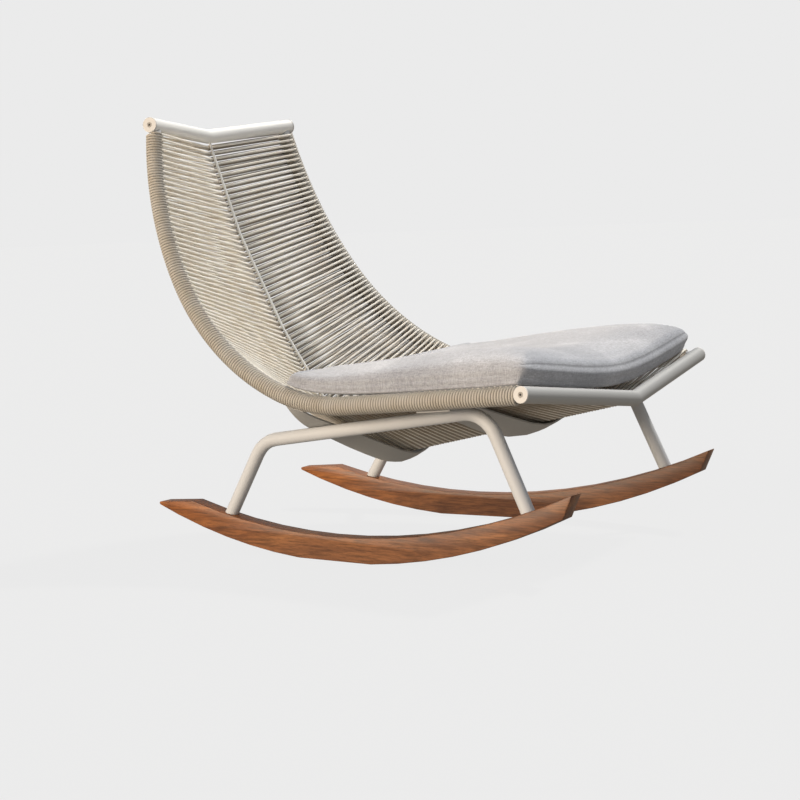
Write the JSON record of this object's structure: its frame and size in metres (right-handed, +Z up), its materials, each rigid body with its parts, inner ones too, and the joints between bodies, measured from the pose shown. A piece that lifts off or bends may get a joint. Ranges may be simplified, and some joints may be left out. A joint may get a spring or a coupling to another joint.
{
  "type": "rocking chair",
  "caption": "Rope sling rocking chair: cord wound on curved side rails and drawn to a spine, bent tube base on curved timber rockers, with a loose seat cushion.",
  "frame": {"origin": "on the floor, under the middle of the chair's bounding box", "axes": "+Z up, +Y to the rear of the chair, +X to the sitter's left"},
  "size_m": [0.7636, 1.0132, 0.8571],
  "materials": {
    "timber": "oiled, open grain",
    "coated_aluminium": "off-white powder coat",
    "coated_steel": "off-white powder coat",
    "steel": "plain",
    "cap": "moulded, satin",
    "cord": "braided cord",
    "fabric": "plain weave"
  },
  "bodies": {
    "frame": {"rocker_right": "timber", "base_tube_right": "coated_aluminium", "side_rail_right": "coated_steel", "rail_wrap_right": "cord", "foot_insert_rear_right": "steel", "rocker_bolt_rear_right": "steel", "saddle_screw_rear_right": "steel", "foot_insert_front_right": "steel", "rocker_bolt_front_right": "steel", "saddle_screw_front_right": "steel", "end_cap_front_right": "cap", "end_screw_front_right": "steel", "end_insert_front_right": "steel", "end_cap_top_right": "cap", "end_screw_top_right": "steel", "end_insert_top_right": "steel", "rope_seat_right": "cord", "rope_lower_back_right": "cord", "rope_upper_back_right": "cord", "rocker_left": "timber", "base_tube_left": "coated_aluminium", "side_rail_left": "coated_steel", "rail_wrap_left": "cord", "foot_insert_rear_left": "steel", "rocker_bolt_rear_left": "steel", "saddle_screw_rear_left": "steel", "foot_insert_front_left": "steel", "rocker_bolt_front_left": "steel", "saddle_screw_front_left": "steel", "end_cap_front_left": "cap", "end_screw_front_left": "steel", "end_insert_front_left": "steel", "end_cap_top_left": "cap", "end_screw_top_left": "steel", "end_insert_top_left": "steel", "rope_seat_left": "cord", "rope_lower_back_left": "cord", "rope_upper_back_left": "cord", "saddle_rear": "coated_aluminium", "saddle_front": "coated_aluminium", "front_bar": "coated_aluminium", "top_bar": "coated_steel", "spine_rod": "coated_steel"},
    "pad": {"cushion": "fabric"}
  },
  "joints": [
    {"name": "cushion_lift", "type": "slide", "parent": "frame", "child": "pad", "axis": [0, 0, 1], "range_m": [0, 0.25]}
  ]
}
